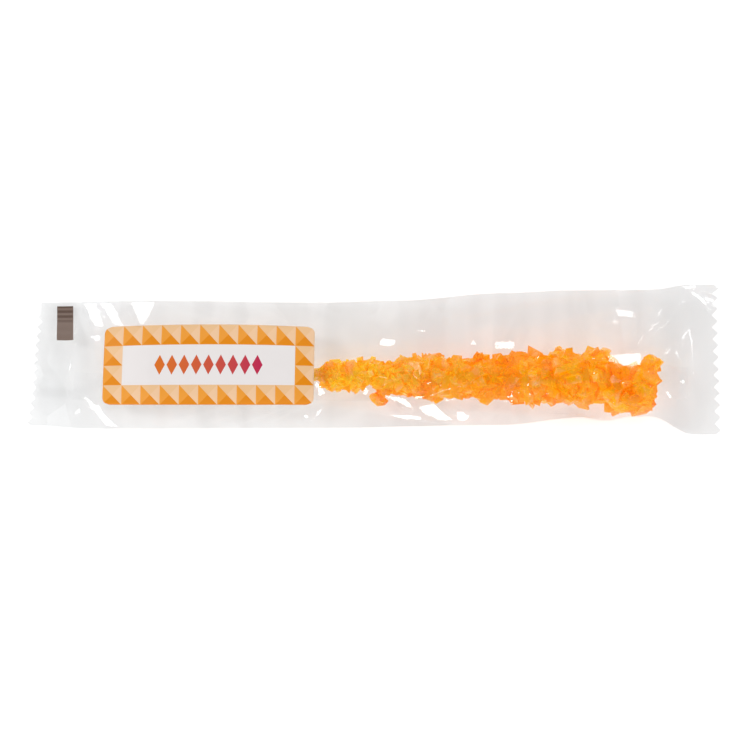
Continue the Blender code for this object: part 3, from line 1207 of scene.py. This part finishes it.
# %% The candy's finish
# The pale edge colour is painted light through thin sugar, the crevice colour is painted shade and the
# pale fleck colour is painted glints.
THIN_EDGE_LIGHT, CREVICE_SHADE, PAINTED_GLINT = (1.0, 0.62, 0.27, 1), (0.95, 0.18, 0.0, 1), (1.0, 0.68, 0.03, 1)
CLUSTER, SPECK = (1.0, 0.20, 0.0, 1), (0.80, 0.09, 0.0, 1)
# Colours from the thin end of the candy to the thick end.
PALE = (0.0, (1.0, 0.76, 0.06, 1)), (0.5, (1.0, 0.53, 0.0, 1)), (1.0, (1.0, 0.59, 0.0, 1))
DEEP = (0.0, (1.0, 0.64, 0.03, 1)), (0.5, (1.0, 0.38, 0.0, 1)), (1.0, (1.0, 0.45, 0.0, 1))


def candy_finish():
    sugar = Finish("orange_sugar")
    grown = sugar.place()[0].step(CANDY_START, CANDY_END)
    tone = sugar.node("Attribute", {"attribute_name": "tone"}, output="Fac")
    reach = sugar.node("Attribute", {"attribute_name": "reach"}, output="Fac")
    body = sugar.mix(tone, sugar.ramp(grown, DEEP), sugar.ramp(grown, PALE))
    # Paler outer edges: painted light shining through thin sugar.
    thin_edge_light = reach.step(0.95, 1.2) * sugar.noise(260, detail=2).step(0.45, 0.6)
    body = sugar.mix(thin_edge_light * 0.85, body, THIN_EDGE_LIGHT)
    # Deeper colour in the crevices between crystals: painted shade.
    crevice_shade = 1 - reach.step(0.6, 0.92)
    body = sugar.mix(crevice_shade * 0.5, body, CREVICE_SHADE)
    # Pale flecks from this noise are painted glints; its low spots make the dark specks.
    glint_and_speck_noise = sugar.noise(1100, detail=3)
    body = sugar.mix(glint_and_speck_noise.step(0.62, 0.7) * 0.6, body, PAINTED_GLINT)
    clusters = sugar.noise(110, detail=1).step(0.48, 0.62)
    body = sugar.mix(clusters * 0.45, body, CLUSTER)
    body = sugar.mix((1 - glint_and_speck_noise.step(0.32, 0.42)) * clusters * 0.8, body, SPECK)
    frost = sugar.noise(900, detail=2)
    # The orange emission is a painted glow; the candy is no lamp.
    skin = sugar.principled(
        base_color=body, roughness=frost.step(0.3, 0.75) * 0.2 + 0.12, specular_ior_level=0.08,
        subsurface_weight=0.6, subsurface_radius=(1.0, 0.35, 0.08), subsurface_scale=0.002,
        transmission_weight=0.3,
        emission_color=(1.0, 0.40, 0.0, 1), emission_strength=0.22,
        normal=sugar.bump(sugar.noise(500, detail=3), 0.0002, 0.5),
    )
    sugar.surface(skin)
    return sugar


dress(candy, candy_finish(), "candy")
print("candy dressed")

# %% [markdown]
# ## Wood
#
# The stick is pale birch. Its grain runs along X, so the noise is stretched along X.

# %% The stick's finish
def wood_finish():
    wood = Finish("birch")
    grain = wood.noise(1400, stretch=(0.03, 1, 1), detail=5)
    colour = wood.ramp(grain.step(0.3, 0.7), ((0.0, (0.62, 0.42, 0.22, 1)), (1.0, (0.80, 0.63, 0.41, 1))))
    wood.surface(wood.principled(
        base_color=colour, roughness=0.62, normal=wood.bump(grain, 0.0001, 0.6)
    ))
    return wood


dress(stick, wood_finish(), "stick")
print("stick dressed")

# %% [markdown]
# ## The label's print
#
# The label has a border of small pyramids, drawn flat: every square is split by its diagonals into four
# triangles with their own shade. The middle is plain paper with one row of small diamonds. All of it
# is sums on the label's own coordinates: the square that a point is in, and where it is in the square.

# %% The label's finish
TILES_ALONG, TILES_ACROSS = 11, 4
DIAMONDS = 9
DIAMOND_ROW = (0.24, 0.76)


def label_finish():
    paper = Finish("printed_paper")
    u, v = paper.flat_place("print")
    along_tiles, across_tiles = u * TILES_ALONG, v * TILES_ACROSS
    right, up = along_tiles % 1 - 0.5, across_tiles % 1 - 0.5
    rising = up > right
    falling = up + right > 0
    upper = paper.mix(falling, printed(241, 159, 54), printed(239, 196, 148))
    lower = paper.mix(falling, printed(232, 139, 0), printed(243, 202, 162))
    tile = paper.mix(rising, lower, upper)

    inner_u = (along_tiles > 1) * (along_tiles < TILES_ALONG - 1)
    inner_v = (across_tiles > 1) * (across_tiles < TILES_ACROSS - 1)
    inner = inner_u * inner_v

    in_row = (u - DIAMOND_ROW[0]) / (DIAMOND_ROW[1] - DIAMOND_ROW[0])
    slot_right = abs((in_row * DIAMONDS) % 1 - 0.5)
    slot_up = abs(v - 0.5) * 8.0
    diamond = (slot_right * 2.3 + slot_up < 1.0) * (in_row > 0) * (in_row < 1)
    ink = paper.ramp(in_row, ((0.0, printed(224, 116, 30)), (1.0, printed(190, 30, 80))))
    blank = paper.mix(diamond, printed(238, 233, 232), ink)
    fibre = paper.noise(2200, detail=2)
    paper.surface(paper.principled(
        base_color=paper.mix(inner, tile, blank), roughness=0.45, specular_ior_level=0.3,
        normal=paper.bump(fibre, 0.00003, 0.4),
    ))
    return paper


dress(label, label_finish(), "label", "label")
print("label dressed")

# %% [markdown]
# ## Table, light and camera
#
# The packet lies on a white table under soft lights, and the camera looks straight down on it from far
# enough away that the thick end isn't swollen.

# %% Set the stage
VIEW_ACROSS = 0.2348
WALLS, CEILING = 1.0, 0.1
TABLE_GLOW = 0.48


def make_floor():
    mesh = bmesh.new()
    bmesh.ops.create_grid(mesh, x_segments=1, y_segments=1, size=3)
    floor = make_piece(mesh, "floor", smooth=False)
    white = Finish("white_table")
    white.surface(white.principled(
        base_color=(0.85, 0.85, 0.85, 1), roughness=0.9,
        emission_color=(1, 1, 1, 1), emission_strength=TABLE_GLOW,
    ))
    floor.data.materials.append(white.material)
    floor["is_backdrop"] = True


def soft_light(name, place, size, power):
    lamp = bpy.data.lights.new(name, "AREA")
    lamp.energy, lamp.size = power, size
    holder = bpy.data.objects.new(name, lamp)
    holder.location = place
    holder.rotation_euler = (-place).to_track_quat("-Z", "Y").to_euler()
    scene.collection.objects.link(holder)


def make_camera():
    lens = bpy.data.cameras.new("camera")
    lens.sensor_width = 36
    lens.lens = lens.sensor_width / VIEW_ACROSS * CAMERA_PLACE.z
    camera = bpy.data.objects.new("camera", lens)
    camera.location = CAMERA_PLACE
    scene.collection.objects.link(camera)
    scene.camera = camera


def make_studio():
    """White walls all round and a dark ceiling, so that flat film has nothing bright to mirror."""
    studio = Finish("studio", "worlds")
    upwards = studio.place("Generated")[2]
    level = (1 - upwards * upwards) * (WALLS - CEILING) + CEILING
    studio.surface(
        studio.node("Background", None, {"Color": (1, 1, 1, 1), "Strength": level}),
        "OutputWorld",
    )
    scene.world = studio.material


make_floor()
make_studio()
for name, (place, size, power) in LAMPS.items():
    soft_light(name, place, size, power)
make_camera()
scene.view_settings.view_transform = "Standard"
print("stage set")

# %% [markdown]
# ## Measure and finish
#
# The dressed packet has to keep the size of the imported one, so both boxes are measured.

# %% Measure the sizes
boxes = [[list(map(float, corner)) for corner in box] for box in (cad_box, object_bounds())]
